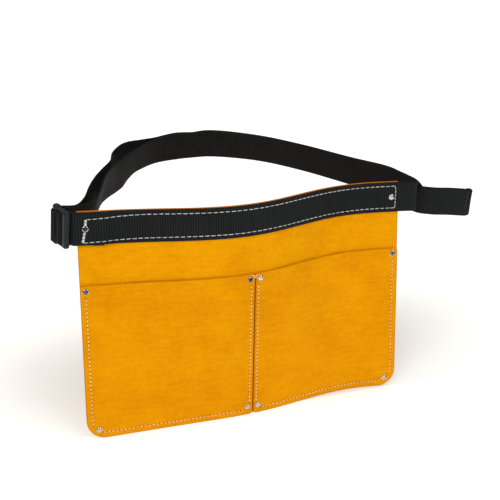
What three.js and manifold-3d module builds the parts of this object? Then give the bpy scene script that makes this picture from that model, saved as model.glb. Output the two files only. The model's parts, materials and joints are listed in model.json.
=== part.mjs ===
// Child's leather tool belt: a suede apron with two open-topped pockets, riveted and sewn, on a
// webbing waist belt that closes through a three-bar slider. Millimetres, +Z up, front faces -Y.
import * as THREE from "three";
import { mergeVertices } from "three/addons/utils/BufferGeometryUtils.js";
import Module from "manifold-3d";

const wasm = await Module();
wasm.setup();

// Apron
const APRON_WIDTH = 270;
const APRON_HEIGHT = 180;
const LEATHER = 1.8;
const CORNER_RADIUS = 15;
const CENTRE_CORNER_RADIUS = 3;
const GAP = 0.3; // clearance between pieces that touch

// The apron hangs in a soft wave, a little different at the top than at the bottom. Each row of the
// wave is a heading along the width: the sum of a cosine series, in degrees.
const TOP_WAVE = [0.05, -9.5, -8.2, 10.6, -0.6];
const BOTTOM_WAVE = [0.7, -0.5, -4.8, 5.7, -2.4];
const TOP_MIDDLE = { x: 5.3, y: 11.3 }; // how far the top's middle stands from the bottom's
const WAVE_STEPS = 108;

// Pockets
const POCKET_HEIGHT = 123;
const POCKET_SIDE_GAP = 0.5; // half the gap between the two pocket fronts
const POCKET_BELLY = 7.5; // how far a pocket's mouth stands off the back panel
const SEAM_MARGIN = 7; // flat sewn border of a pocket
const BELLY_SPREAD = 3.2; // the mouth is fully open from 1 / this of the width in from each side

// Webbing
const WEBBING_WIDTH = 25;
const WEBBING = 1.4;
const LEATHER_SHOWING = 0.9; // leather left bare above the waistband
const UNDERLAP = 20; // length of the folded end under the waistband
const LAYER_STEP = 8; // length over which the band steps down off its folded end
const PAST_EDGE = [2.4, 1.6]; // how far the under and over layers run on past the apron's left edge
const BAND_Z = APRON_HEIGHT - LEATHER_SHOWING - WEBBING_WIDTH / 2;
const UNDER_OFFSET = LEATHER + GAP + WEBBING / 2;
const OVER_OFFSET = UNDER_OFFSET + WEBBING + GAP;

// Slider: three bars between a top and a bottom rail
const SLIDER = { x: -138.8, y: 33.2, heading: 106, length: 19.6, depth: 2.8, height: 30 };
const BAR_PITCH = 8;
const CENTRE_BAR_WIDTH = 2.4;
const OUTER_BAR_WIDTH = 3.4;
const SLIDER_WINDOW = WEBBING_WIDTH + 1.2;
const LOOP_RADIUS = 2.6; // middle of the fixed loop round the centre bar
const LOOP_WRAP = 125; // degrees of loop to each side of its far point
const TURN_RADIUS = 2.9; // middle of the adjusting strap round the far bar
const TURN_HEADING = 36; // direction in which the strap leaves the slider
const TURN_LEG = 3;
const SWING_ROOM = 2.2; // free length of strap between the turn and the rear belt
const TURN_OUT = { run: 6.2, rise: 1.2, radius: 6.4, from: -100, to: 6 }; // the band's turn to the rear
const HEM = { length: 6, thickness: 3.1 }; // the tail's end, folded back and sewn
const HEM_SEAM = { reach: 0.42, back: 0.7 }; // as shares of the webbing's width and the hem's length

// Rivets
const RIVET_HEAD_RADIUS = 2.9;
const RIVET_HEAD_HEIGHT = 1.1;
const RIVET_POST_RADIUS = 1.2;
const RIVET_BACK_RADIUS = 2.6;
const RIVET_BACK_HEIGHT = 1.1;
const RIVET_SEGMENTS = 10;

// Sewing
const THREAD_RADIUS = 0.35;
const SEAM_INSET = 4.5;
const CENTRE_SEAM_INSET = 3.2;
const BAND_SEAM_INSET = 3.5;
const RIVET_DETOUR = 4; // a seam passes a rivet's middle no nearer than this
const SEAM_TOP = 113.6; // the pocket seams stop here, below the top rivets
const BEAD_STEP = 9; // length of one straight piece of a pocket's thread bead
const BAND_STEPS = 42;

const radians = THREE.MathUtils.degToRad;
const vec = (x, y, z) => new THREE.Vector3(x, y, z);
const mix = THREE.MathUtils.lerp;
const ease = (t) => THREE.MathUtils.smoothstep(t, 0, 1);

const material = (color, roughness, metalness = 0) =>
  new THREE.MeshStandardMaterial({ color, roughness, metalness });
const finishes = {
  panel: material(0xe39a0c, 0.95),
  pocket: material(0xdc8f08, 0.95),
  webbing: material(0x1c1d1f, 0.8),
  plastic: material(0x1f2730, 0.45),
  nickel: material(0xb9b7b2, 0.3, 1),
  whiteThread: material(0xe9e6dc, 0.7),
  tanThread: material(0xe9b75f, 0.7),
  blackThread: material(0x222222, 0.8),
};

const group = new THREE.Group();

function addMesh(name, geometry, finish) {
  const mesh = new THREE.Mesh(geometry, finishes[finish]);
  mesh.name = name;
  group.add(mesh);
  return mesh;
}

// ---- Solids from rings of points, and cuts ----

// A closed skin over rings that all have the same number of points, with a flat cap on each end.
function skin(rings) {
  const sides = rings[0].length;
  const points = rings.flat();
  const index = [];
  for (let i = 0; i + 1 < rings.length; i++) {
    for (let j = 0; j < sides; j++) {
      const a = i * sides + j;
      const b = i * sides + ((j + 1) % sides);
      index.push(a, b, a + sides, b, b + sides, a + sides);
    }
  }
  const last = (rings.length - 1) * sides;
  for (let j = 1; j + 1 < sides; j++) {
    index.push(0, j + 1, j, last, last + j, last + j + 1);
  }
  return outward(points, index);
}

// Builds the geometry and turns its faces outward if its volume comes out negative.
function outward(points, index) {
  let volume = 0;
  for (let i = 0; i < index.length; i += 3) {
    const [a, b, c] = [points[index[i]], points[index[i + 1]], points[index[i + 2]]];
    volume += a.dot(b.clone().cross(c));
  }
  if (volume < 0) index.reverse();
  const geometry = new THREE.BufferGeometry();
  const positions = points.flatMap((p) => p.toArray());
  geometry.setAttribute("position", new THREE.Float32BufferAttribute(positions, 3));
  geometry.setIndex(index);
  return geometry;
}

function toSolid(geometry, matrix = new THREE.Matrix4()) {
  const bare = geometry.clone().applyMatrix4(matrix);
  bare.deleteAttribute("normal");
  bare.deleteAttribute("uv");
  const merged = mergeVertices(bare, 1e-4);
  const vertProperties = new Float32Array(merged.attributes.position.array);
  const triVerts = new Uint32Array(merged.index.array);
  return new wasm.Manifold(new wasm.Mesh({ numProp: 3, vertProperties, triVerts }));
}

function fromSolid(solid) {
  const mesh = solid.getMesh();
  const geometry = new THREE.BufferGeometry();
  geometry.setAttribute("position", new THREE.Float32BufferAttribute(mesh.vertProperties, 3));
  geometry.setIndex(Array.from(mesh.triVerts));
  return geometry;
}

// ---- The apron's curved sheet ----

// Plan curve of one row: its heading is the cosine series, its middle is at the given place.
function planCurve(series, middle) {
  const places = [new THREE.Vector2(0, 0)];
  const step = APRON_WIDTH / WAVE_STEPS;
  for (let i = 0; i < WAVE_STEPS; i++) {
    const t = (i + 0.5) / WAVE_STEPS;
    const heading = series.reduce((sum, a, k) => sum + a * Math.cos(k * Math.PI * t), 0);
    const direction = new THREE.Vector2(Math.cos(radians(heading)), Math.sin(radians(heading)));
    places.push(places[i].clone().addScaledVector(direction, step));
  }
  const shift = new THREE.Vector2(middle.x, middle.y).sub(places[WAVE_STEPS / 2]);
  return (s) => {
    const at = THREE.MathUtils.clamp((s / APRON_WIDTH) * WAVE_STEPS, 0, WAVE_STEPS);
    const i = Math.min(Math.floor(at), WAVE_STEPS - 1);
    return places[i].clone().lerp(places[i + 1], at - i).add(shift);
  };
}

const topRow = planCurve(TOP_WAVE, TOP_MIDDLE);
const bottomRow = planCurve(BOTTOM_WAVE, { x: 0, y: 0 });

// The rear face of the back panel at distance s along the width and height z.
function rearFace(s, z) {
  const place = bottomRow(s).lerp(topRow(s), z / APRON_HEIGHT);
  return vec(place.x, place.y, z);
}

// Unit directions on the sheet: along the width, up the sheet, and out of its front.
function directions(s, z) {
  const inside = THREE.MathUtils.clamp(s, 1, APRON_WIDTH - 1);
  const along = rearFace(inside + 1, z).sub(rearFace(inside - 1, z)).normalize();
  const up = rearFace(inside, z + 1).sub(rearFace(inside, z - 1)).normalize();
  return { along, up, front: along.clone().cross(up).normalize() };
}

function onSheet(s, z, offset) {
  return rearFace(s, z).addScaledVector(directions(s, z).front, offset);
}

// How far a rounded bottom corner takes the edge in at height z.
function cornerInset(radius, z) {
  return z >= radius ? 0 : radius - Math.sqrt(radius ** 2 - (radius - z) ** 2);
}

// A leather sheet between two offsets, from edge to edge, with rounded bottom corners.
function leatherSheet({ left, right, top, radii, inner, thickness, columns, rows }) {
  const heights = [0, 0.6, 2.5, 7, CORNER_RADIUS];
  for (let i = 1; i <= rows; i++) heights.push(mix(CORNER_RADIUS, top, i / rows));
  const faces = [0, thickness].map((extra) =>
    heights.map((z) => {
      const from = left + cornerInset(radii[0], z);
      const to = right - cornerInset(radii[1], z);
      return Array.from({ length: columns + 1 }, (_, i) => {
        const s = mix(from, to, i / columns);
        const place = onSheet(s, z, inner(s, z) + extra);
        return z === 0 ? place.setZ(0) : place; // the bottom edge is cut level
      });
    })
  );
  return sheetSolid(faces[0], faces[1]);
}

// Closes a rear and a front grid of points into one body.
function sheetSolid(rear, front) {
  const rows = rear.length;
  const columns = rear[0].length;
  const points = [...rear.flat(), ...front.flat()];
  const at = (face, r, c) => (face * rows + r) * columns + c;
  const index = [];
  const quad = (a, b, c, d) => index.push(a, b, c, a, c, d);
  for (let r = 0; r + 1 < rows; r++) {
    for (let c = 0; c + 1 < columns; c++) {
      quad(at(0, r, c), at(0, r + 1, c), at(0, r + 1, c + 1), at(0, r, c + 1));
      quad(at(1, r, c), at(1, r, c + 1), at(1, r + 1, c + 1), at(1, r + 1, c));
    }
  }
  for (let c = 0; c + 1 < columns; c++) {
    quad(at(0, 0, c), at(0, 0, c + 1), at(1, 0, c + 1), at(1, 0, c));
    const r = rows - 1;
    quad(at(0, r, c), at(1, r, c), at(1, r, c + 1), at(0, r, c + 1));
  }
  for (let r = 0; r + 1 < rows; r++) {
    const c = columns - 1;
    quad(at(0, r, 0), at(1, r, 0), at(1, r + 1, 0), at(0, r + 1, 0));
    quad(at(0, r, c), at(0, r + 1, c), at(1, r + 1, c), at(1, r, c));
  }
  return outward(points, index);
}

// ---- Rivets ----

const middle = APRON_WIDTH / 2;
const rivets = [
  { name: "left_pocket_top_outer", s: 4.4, z: 118.6 },
  { name: "left_pocket_top_inner", s: middle - 4.4, z: 118.6 },
  { name: "left_pocket_bottom_outer", s: 9.4, z: 7.1 },
  { name: "left_pocket_bottom_inner", s: middle - 4.6, z: 7.1 },
  { name: "right_pocket_top_inner", s: middle + 4.4, z: 118.6 },
  { name: "right_pocket_top_outer", s: APRON_WIDTH - 4.4, z: 118.6 },
  { name: "right_pocket_bottom_inner", s: middle + 4.6, z: 7.1 },
  { name: "right_pocket_bottom_outer", s: APRON_WIDTH - 9.4, z: 7.1 },
  { name: "waistband_left", s: 6.5, z: BAND_Z, over: OVER_OFFSET + WEBBING / 2 },
  { name: "waistband_right", s: APRON_WIDTH - 6.5, z: BAND_Z, over: UNDER_OFFSET + WEBBING / 2 },
];

// Places a rivet's own frame: its axis, +Y, points out of the front of the sheet.
function rivetFrame({ s, z }) {
  const { along, front } = directions(s, z);
  return new THREE.Matrix4().makeBasis(along, front, along.clone().cross(front)).setPosition(rearFace(s, z));
}

function rivetHoles(list, radius = RIVET_POST_RADIUS + GAP) {
  const drill = new THREE.CylinderGeometry(radius, radius, 40, RIVET_SEGMENTS);
  return list.map((rivet) => toSolid(drill, rivetFrame(rivet)));
}

function drilled(geometry, list) {
  return fromSolid(rivetHoles(list).reduce((solid, hole) => solid.subtract(hole), toSolid(geometry)));
}

function lathe(profile) {
  const points = profile.map(([r, y]) => new THREE.Vector2(r, y));
  return new THREE.LatheGeometry(points, RIVET_SEGMENTS);
}

function addRivet(rivet) {
  const { name, over = 2 * LEATHER + GAP } = rivet;
  const seat = over + GAP;
  const tip = -(GAP + RIVET_BACK_HEIGHT / 2 - GAP);
  const head = lathe([
    [0, tip], [RIVET_POST_RADIUS, tip], [RIVET_POST_RADIUS, seat], [RIVET_HEAD_RADIUS, seat],
    [RIVET_HEAD_RADIUS, seat + 0.3], [RIVET_HEAD_RADIUS * 0.72, seat + RIVET_HEAD_HEIGHT * 0.8],
    [RIVET_HEAD_RADIUS * 0.35, seat + RIVET_HEAD_HEIGHT], [0, seat + RIVET_HEAD_HEIGHT],
  ]);
  const low = -GAP - RIVET_BACK_HEIGHT;
  const socket = RIVET_POST_RADIUS + GAP;
  const back = lathe([
    [0, low], [RIVET_BACK_RADIUS * 0.5, low], [RIVET_BACK_RADIUS, low + 0.5], [RIVET_BACK_RADIUS, -GAP],
    [socket, -GAP], [socket, tip - GAP], [0, tip - GAP],
  ]);
  for (const [suffix, shape] of [["head", head], ["back", back]]) {
    addMesh(`rivet_${suffix}_${name}`, toClosed(shape, rivetFrame(rivet)), "nickel");
  }
}

function toClosed(geometry, matrix) {
  return fromSolid(toSolid(geometry, matrix));
}

// ---- Leather ----

const bandRivets = rivets.filter((rivet) => rivet.name.startsWith("waistband"));
const leftRivets = rivets.filter((rivet) => rivet.name.startsWith("left"));
const rightRivets = rivets.filter((rivet) => rivet.name.startsWith("right"));

const backPanel = leatherSheet({
  left: 0, right: APRON_WIDTH, top: APRON_HEIGHT, radii: [CORNER_RADIUS, CORNER_RADIUS],
  inner: () => 0, thickness: LEATHER, columns: 24, rows: 5,
});
addMesh("apron_back_panel", drilled(backPanel, rivets), "panel");

// A pocket front lies flat along its sewn border and stands off towards its mouth.
function addPocket(side, left, right, radii, list) {
  const inner = (s, z) => {
    const across = THREE.MathUtils.clamp((s - left - SEAM_MARGIN) / (right - left - 2 * SEAM_MARGIN), 0, 1);
    const height = THREE.MathUtils.clamp((z - SEAM_MARGIN) / (POCKET_HEIGHT - SEAM_MARGIN), 0, 1);
    const middleness = Math.min(1, BELLY_SPREAD * Math.min(across, 1 - across));
    return LEATHER + GAP + POCKET_BELLY * ease(middleness) * ease(height);
  };
  const front = leatherSheet({
    left, right, top: POCKET_HEIGHT, radii, inner, thickness: LEATHER, columns: 16, rows: 5,
  });
  addMesh(`${side}_pocket_front`, drilled(front, list), "pocket");
}
addPocket("left", 0, middle - POCKET_SIDE_GAP, [CORNER_RADIUS, CENTRE_CORNER_RADIUS], leftRivets);
addPocket("right", middle + POCKET_SIDE_GAP, APRON_WIDTH, [CENTRE_CORNER_RADIUS, CORNER_RADIUS], rightRivets);

// ---- Webbing ----

// A strap: stations along its middle line, each with the direction of its width.
function strap(stations, width = WEBBING_WIDTH, thickness = WEBBING) {
  const rings = stations.map(({ place, up }, i) => {
    const before = stations[Math.max(i - 1, 0)].place;
    const after = stations[Math.min(i + 1, stations.length - 1)].place;
    const side = after.clone().sub(before).cross(up).normalize();
    return [[1, 1], [-1, 1], [-1, -1], [1, -1]].map(([a, b]) =>
      place.clone().addScaledVector(side, (a * thickness) / 2).addScaledVector(up, (b * width) / 2)
    );
  });
  return skin(rings);
}

// Stations on a smooth curve through [x, y, z, lean] points. Lean, in degrees, tips the strap's top
// edge towards the right-hand side of its travel.
function stationsThrough(points, perSpan) {
  const curve = new THREE.CatmullRomCurve3(points.map(([x, y, z]) => vec(x, y, z)), false, "centripetal");
  const spans = points.length - 1;
  return Array.from({ length: spans * perSpan + 1 }, (_, i) => {
    const k = Math.min(Math.floor(i / perSpan), spans - 1);
    const lean = radians(mix(points[k][3] ?? 0, points[k + 1][3] ?? 0, i / perSpan - k));
    const right = curve.getTangent(i / (spans * perSpan)).cross(vec(0, 0, 1)).normalize();
    const up = vec(0, 0, Math.cos(lean)).addScaledVector(right, Math.sin(lean));
    return { place: curve.getPoint(i / (spans * perSpan)), up };
  });
}

function arcStations(centre, radius, from, to, count) {
  return Array.from({ length: count + 1 }, (_, i) => {
    const angle = radians(mix(from, to, i / count));
    const place = vec(centre.x + radius * Math.cos(angle), centre.y + radius * Math.sin(angle), BAND_Z);
    return { place, up: vec(0, 0, 1) };
  });
}

function bandStations(places, offsetAt) {
  return places.map((s) => ({ place: onSheet(s, BAND_Z, offsetAt(s)), up: directions(s, BAND_Z).up }));
}

const spread = (from, to, count) => Array.from({ length: count + 1 }, (_, i) => mix(from, to, i / count));

// The sewn length: its folded end lies under the band, goes round the slider's centre bar, and
// comes back over itself along the front of the apron to the turn at the right.
const sliderCentre = vec(SLIDER.x, SLIDER.y, BAND_Z);
const bandStart = onSheet(0, BAND_Z, (UNDER_OFFSET + OVER_OFFSET) / 2);
const loopHeading = THREE.MathUtils.radToDeg(Math.atan2(SLIDER.y - bandStart.y, SLIDER.x - bandStart.x));
const steppedOffset = (s) => mix(OVER_OFFSET, UNDER_OFFSET, ease((s - UNDERLAP - 1) / LAYER_STEP));
const bandPlaces = spread(0.5, APRON_WIDTH - 1, BAND_STEPS);

// The band runs on past the apron's left edge for a little before it turns towards the slider.
function pastEdge(offset, length) {
  const { along, up } = directions(0, BAND_Z);
  return { place: onSheet(0, BAND_Z, offset).addScaledVector(along, -length), up };
}

// Half way to the slider the two layers of the loop come together, one on each side of the middle.
function neck(heading) {
  const side = vec(Math.cos(radians(heading)), Math.sin(radians(heading)), 0);
  const up = directions(0, BAND_Z).up.lerp(vec(0, 0, 1), 0.7).normalize();
  const place = bandStart.clone().lerp(sliderCentre, 0.5).addScaledVector(side, WEBBING / 2 + GAP);
  return { place, up };
}

const rightEnd = onSheet(APRON_WIDTH, BAND_Z, UNDER_OFFSET);
const turnCentre = vec(rightEnd.x + TURN_OUT.run, rightEnd.y - TURN_OUT.rise + TURN_OUT.radius, 0);
const sewn = [
  ...bandStations(spread(UNDERLAP, 0.5, 4), () => UNDER_OFFSET),
  pastEdge(UNDER_OFFSET, PAST_EDGE[0]),
  neck(loopHeading - 90),
  ...arcStations(sliderCentre, LOOP_RADIUS, loopHeading - LOOP_WRAP, loopHeading + LOOP_WRAP, 14),
  neck(loopHeading + 90),
  pastEdge(OVER_OFFSET, PAST_EDGE[1]),
  ...bandStations(bandPlaces, steppedOffset),
  ...arcStations(turnCentre, TURN_OUT.radius, TURN_OUT.from, TURN_OUT.to, 8),
];
addMesh("waistband_webbing", drilled(strap(sewn), bandRivets), "webbing");

// The strap's turn round the slider's far bar: a half circle that opens the way the strap leaves.
function fromSlider(along) {
  const heading = radians(SLIDER.heading);
  return vec(SLIDER.x + along * Math.cos(heading), SLIDER.y + along * Math.sin(heading), BAND_Z);
}
const farBar = fromSlider(BAR_PITCH);
const leaving = vec(Math.cos(radians(TURN_HEADING)), Math.sin(radians(TURN_HEADING)), 0);
const turn = arcStations(farBar, TURN_RADIUS, TURN_HEADING - 90, TURN_HEADING - 270, 12);
const leg = ({ place, up }, length) => ({ place: place.clone().addScaledVector(leaving, length), up });
const turnStart = turn[0];
const turnEnd = turn[turn.length - 1];
addMesh("strap_turn", strap([leg(turnStart, TURN_LEG), ...turn, leg(turnEnd, TURN_LEG)]), "webbing");

// The rear belt is two layers of the same strap. Both are [x, y, middle height, lean].
const startOf = (station) => leg(station, TURN_LEG + SWING_ROOM).place.toArray();
const sewnEnd = sewn[sewn.length - 1].place;
const innerRoute = [
  startOf(turnStart),
  [-121, 50, 167.2, 2], [-110.5, 58, 168.6, 5], [-104, 75, 170.2, 8], [-98, 96, 171.6, 8],
  [-90, 121, 172.8, 9], [-76, 144, 174.3, 14], [-55, 169, 176.6, 20], [-33, 189, 177.9, 8],
  [10, 199.5, 177.7, 3], [57.5, 176.5, 177.6, 2], [87, 133, 177.4], [117, 88, 174.4],
  [139.5, 61, 170.4], [146.6, 46, 168.2], [sewnEnd.x, sewnEnd.y + GAP, sewnEnd.z],
];
addMesh("rear_belt_inner_layer", strap(stationsThrough(innerRoute, 3)), "webbing");

const outerRoute = [
  startOf(turnEnd),
  [-125.5, 54.5, 167.4, 2], [-118, 68, 169, 5], [-112, 86, 170.6, 6], [-105.5, 104, 171.8, 6],
  [-97.5, 122, 173.3, 6], [-88, 147, 175, 8], [-79, 165, 176.2, 8], [-65, 185, 177.3, 8],
  [-48, 193, 177.6, 6], [-33, 195.5, 177.6, 5], [10, 202, 177.4, 3], [60, 178.8, 177],
  [90, 134.5, 175.6], [120.5, 89, 171.2], [143, 64.5, 166], [151.5, 49.5, 162.4],
  [157.5, 41, 160, 4],
];
const outer = stationsThrough(outerRoute, 3);
addMesh("rear_belt_outer_layer", strap(outer), "webbing");

// The strap's free end, with its last few millimetres folded back and sewn.
const tailRoute = [[158.4, 40.1, 159.7, 4], [171, 33, 157.6, 7], [185, 28.6, 156.6, 8], [199, 25, 156, 8]];
const tail = stationsThrough(tailRoute, 4);
const tailTip = tail[tail.length - 1];
const tailDirection = tailTip.place.clone().sub(tail[tail.length - 2].place).normalize();
const hemStations = [-HEM.length, 0].map((back) => ({
  place: tailTip.place.clone().addScaledVector(tailDirection, back), up: tailTip.up,
}));
const hem = strap(hemStations, WEBBING_WIDTH, HEM.thickness);
addMesh("strap_tail", fromSolid(toSolid(strap(tail)).add(toSolid(hem))), "webbing");

// ---- Slider ----

function roundedPlate() {
  const round = SLIDER.depth / 2;
  const reach = SLIDER.length / 2 - round;
  const outline = new THREE.Shape();
  outline.absarc(reach, 0, round, -Math.PI / 2, Math.PI / 2);
  outline.absarc(-reach, 0, round, Math.PI / 2, (3 * Math.PI) / 2);
  outline.closePath();
  return new THREE.ExtrudeGeometry(outline, { depth: SLIDER.height, bevelEnabled: false, curveSegments: 5 });
}

function sliderGeometry() {
  const lift = new THREE.Matrix4().makeTranslation(0, 0, -SLIDER.height / 2);
  let solid = toSolid(roundedPlate(), lift);
  const from = CENTRE_BAR_WIDTH / 2;
  const to = BAR_PITCH - OUTER_BAR_WIDTH / 2;
  for (const side of [-1, 1]) {
    const slot = new THREE.BoxGeometry(to - from, 2 * SLIDER.depth, SLIDER_WINDOW);
    const aside = new THREE.Matrix4().makeTranslation((side * (from + to)) / 2, 0, 0);
    solid = solid.subtract(toSolid(slot, aside));
  }
  return fromSolid(solid);
}
const slider = addMesh("slider_buckle", sliderGeometry(), "plastic");
slider.position.copy(fromSlider(0));
slider.rotation.z = radians(SLIDER.heading);

rivets.forEach(addRivet);

// ---- Sewing thread ----

// A bead of thread along a route of [s, z] points on the sheet, at an offset from its rear face.
function addThread(name, route, offsetAt, finish) {
  const bead = route.map(([s, z]) => ({ place: onSheet(s, z, offsetAt(s)), up: directions(s, z).front }));
  addMesh(name, strap(bead, 2 * THREAD_RADIUS, 2 * THREAD_RADIUS), finish);
}

// Points every few millimetres along a route of corners, so that a bead follows the curved sheet.
function subdivide(corners, spacing) {
  return corners.flatMap(([s, z], i) => {
    if (i === 0) return [[s, z]];
    const [s0, z0] = corners[i - 1];
    const count = Math.max(1, Math.round(Math.hypot(s - s0, z - z0) / spacing));
    return spread(0, 1, count).slice(1).map((t) => [mix(s0, s, t), mix(z0, z, t)]);
  });
}

const proud = GAP + THREAD_RADIUS;
const bandEdge = WEBBING_WIDTH / 2 - BAND_SEAM_INSET;
const [bandLeft, bandRight] = [6.5, APRON_WIDTH - 6.5];
const between = [bandLeft, ...bandPlaces.filter((s) => s > bandLeft + 1 && s < bandRight - 1), bandRight];
const bandRoute = [
  [bandLeft, BAND_Z + RIVET_DETOUR],
  ...between.map((s) => [s, BAND_Z + bandEdge]),
  [bandRight - RIVET_DETOUR, BAND_Z],
  ...between.reverse().map((s) => [s, BAND_Z - bandEdge]),
  [bandLeft, BAND_Z - RIVET_DETOUR],
];
addThread("waistband_seam_thread", bandRoute, (s) => steppedOffset(s) + WEBBING / 2 + proud, "whiteThread");
addThread("waistband_seam_bobbin_thread", bandRoute, () => -proud, "whiteThread");

// A pocket's seam runs down its outer side, round the corner rivet, along the bottom and up its inner side.
function pocketRoute(outerEdge, direction) {
  const inner = middle - CENTRE_SEAM_INSET;
  return subdivide([
    [SEAM_INSET, SEAM_TOP], [SEAM_INSET, 17], [8.5, 12.2], [13.4, 9.4], [16.5, SEAM_INSET],
    [middle - 12, SEAM_INSET], [middle - 9.6, 8], [middle - 6.6, 11.6], [inner, 14.5], [inner, SEAM_TOP],
  ], BEAD_STEP).map(([s, z]) => [outerEdge + direction * s, z]);
}
for (const [side, edge, direction] of [["left", 0, 1], ["right", APRON_WIDTH, -1]]) {
  const route = pocketRoute(edge, direction);
  addThread(`${side}_pocket_seam_thread`, route, () => 2 * LEATHER + GAP + proud, "tanThread");
  addThread(`${side}_pocket_seam_bobbin_thread`, route, () => -proud, "tanThread");
}

const hemNormal = tailDirection.clone().cross(tailTip.up).normalize();
const hemSeam = [-HEM_SEAM.reach, HEM_SEAM.reach].map((part) => ({
  place: tailTip.place.clone().addScaledVector(tailTip.up, part * WEBBING_WIDTH)
    .addScaledVector(tailDirection, -HEM.length * HEM_SEAM.back)
    .addScaledVector(hemNormal, HEM.thickness / 2 + proud),
  up: hemNormal,
}));
addMesh("tail_hem_thread", strap(hemSeam, 2 * THREAD_RADIUS, 2 * THREAD_RADIUS), "blackThread");

// The origin is the middle of the belt's outer box, on the ground.
const box = new THREE.Box3().setFromObject(group);
group.position.set(-(box.min.x + box.max.x) / 2, -(box.min.y + box.max.y) / 2, -box.min.z);

export default group;
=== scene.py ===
import json
import math

import bmesh
import bpy
import numpy as np
from mathutils import Matrix, Vector


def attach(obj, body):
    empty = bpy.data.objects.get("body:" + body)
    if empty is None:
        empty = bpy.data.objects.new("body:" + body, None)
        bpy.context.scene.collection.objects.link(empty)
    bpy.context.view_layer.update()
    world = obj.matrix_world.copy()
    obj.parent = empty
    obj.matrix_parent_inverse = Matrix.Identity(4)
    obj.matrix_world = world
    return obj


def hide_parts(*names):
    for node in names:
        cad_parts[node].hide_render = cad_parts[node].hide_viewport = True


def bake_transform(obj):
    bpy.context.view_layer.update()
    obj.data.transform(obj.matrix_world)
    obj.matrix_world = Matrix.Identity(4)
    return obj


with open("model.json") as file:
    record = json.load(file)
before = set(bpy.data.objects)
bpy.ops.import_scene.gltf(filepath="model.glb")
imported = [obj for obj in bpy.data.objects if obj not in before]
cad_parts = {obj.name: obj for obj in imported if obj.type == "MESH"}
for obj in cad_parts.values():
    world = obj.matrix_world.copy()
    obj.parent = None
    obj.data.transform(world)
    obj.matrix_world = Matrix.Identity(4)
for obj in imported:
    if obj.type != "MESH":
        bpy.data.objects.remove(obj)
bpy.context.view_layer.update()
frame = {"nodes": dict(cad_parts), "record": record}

print("frame loaded:", len(frame["nodes"]), "nodes")

# Lengths below are in millimetres, from the middle of the apron's lower rear edge: x along the
# apron, y to the rear, z up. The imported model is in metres, from the middle of its own box.
mm = 0.001
mounts = {mount["name"]: mount for mount in frame["record"]["mounts"]}
leatherMiddle = 0.9  # the bottom mount lies this far in front of the rear face
origin = np.array(mounts["bottom_edge"]["pos_m"]) + np.array([0, leatherMiddle * mm, 0])


def inRow(points):
    return np.asarray(points, float) * mm + origin


def unit(vectors):
    return vectors / np.linalg.norm(vectors, axis=-1, keepdims=True)


def levelHeading(degrees):
    return np.array([math.cos(math.radians(degrees)), math.sin(math.radians(degrees)), 0])


def ease(t):
    t = np.clip(t, 0, 1)
    return t * t * (3 - 2 * t)


def mix(a, b, t):
    return a + (b - a) * t


def newMaterial(name):
    material = bpy.data.materials.new(name)
    material.use_nodes = True
    nodes = material.node_tree.nodes
    return material, nodes, material.node_tree.links, nodes["Principled BSDF"]


def addNode(nodes, kind, values=None, **settings):
    node = nodes.new(kind)
    for key, value in settings.items():
        setattr(node, key, value)
    for key, value in (values or {}).items():
        node.inputs[key].default_value = value
    return node


def objectPlace(nodes):
    return addNode(nodes, "ShaderNodeTexCoord").outputs["Object"]


def noise(nodes, links, coordinates, scale, detail=4.0, roughness=0.6):
    node = addNode(nodes, "ShaderNodeTexNoise", {"Scale": scale, "Detail": detail, "Roughness": roughness})
    links.new(coordinates, node.inputs["Vector"])
    return node.outputs["Fac"]


def stretched(nodes, links, coordinates, scale):
    node = addNode(nodes, "ShaderNodeMapping", {"Scale": scale})
    links.new(coordinates, node.inputs["Vector"])
    return node.outputs["Vector"]


def ramp(nodes, links, factor, stops):
    node = nodes.new("ShaderNodeValToRGB")
    elements = node.color_ramp.elements
    while len(elements) < len(stops):
        elements.new(0.5)
    for element, (position, color) in zip(elements, stops):
        element.position = position
        element.color = (*color, 1)
    links.new(factor, node.inputs["Fac"])
    return node.outputs["Color"]


def spread(nodes, links, factor, fromMin, fromMax, toMin, toMax):
    node = addNode(nodes, "ShaderNodeMapRange", {
        "From Min": fromMin, "From Max": fromMax, "To Min": toMin, "To Max": toMax})
    links.new(factor, node.inputs["Value"])
    return node.outputs["Result"]


def blendColors(nodes, links, factor, first, second, mode="MIX"):
    node = addNode(nodes, "ShaderNodeMix", data_type="RGBA", blend_type=mode)
    for socket, value in ((0, factor), (6, first), (7, second)):
        if isinstance(value, bpy.types.NodeSocket):
            links.new(value, node.inputs[socket])
        else:
            node.inputs[socket].default_value = (*value, 1) if socket else value
    return node.outputs[2]


def attribute(nodes, name):
    return addNode(nodes, "ShaderNodeAttribute", attribute_name=name).outputs["Fac"]


def calculate(nodes, links, operation, *terms):
    node = addNode(nodes, "ShaderNodeMath", operation=operation)
    for i, term in enumerate(terms):
        if isinstance(term, bpy.types.NodeSocket):
            links.new(term, node.inputs[i])
        else:
            node.inputs[i].default_value = term
    return node.outputs[0]


def bump(nodes, links, height, distance, strength, normal=None):
    node = addNode(nodes, "ShaderNodeBump", {"Strength": strength, "Distance": distance})
    links.new(height, node.inputs["Height"])
    if normal:
        links.new(normal, node.inputs["Normal"])
    return node.outputs["Normal"]


suede = {
    "panelTones": [(0.655, 0.243, 0.0), (0.735, 0.297, 0.0), (0.80, 0.343, 0.001)],
    # the pockets' tones are a little darker than the panel's: painted shade
    "pocketShadedTones": [(0.645, 0.232, 0.0), (0.722, 0.284, 0.0), (0.785, 0.328, 0.001)],
    "cutEdge": (0.50, 0.128, 0.002),
    "mottleScale": 24,   # cloudy patches, about 40 mm
    "grainScale": 260,   # nap clumps, about 4 mm
    "streakScale": 330,  # level streaks left by brushing
    "napScale": 2600,    # single fibres
}


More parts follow.
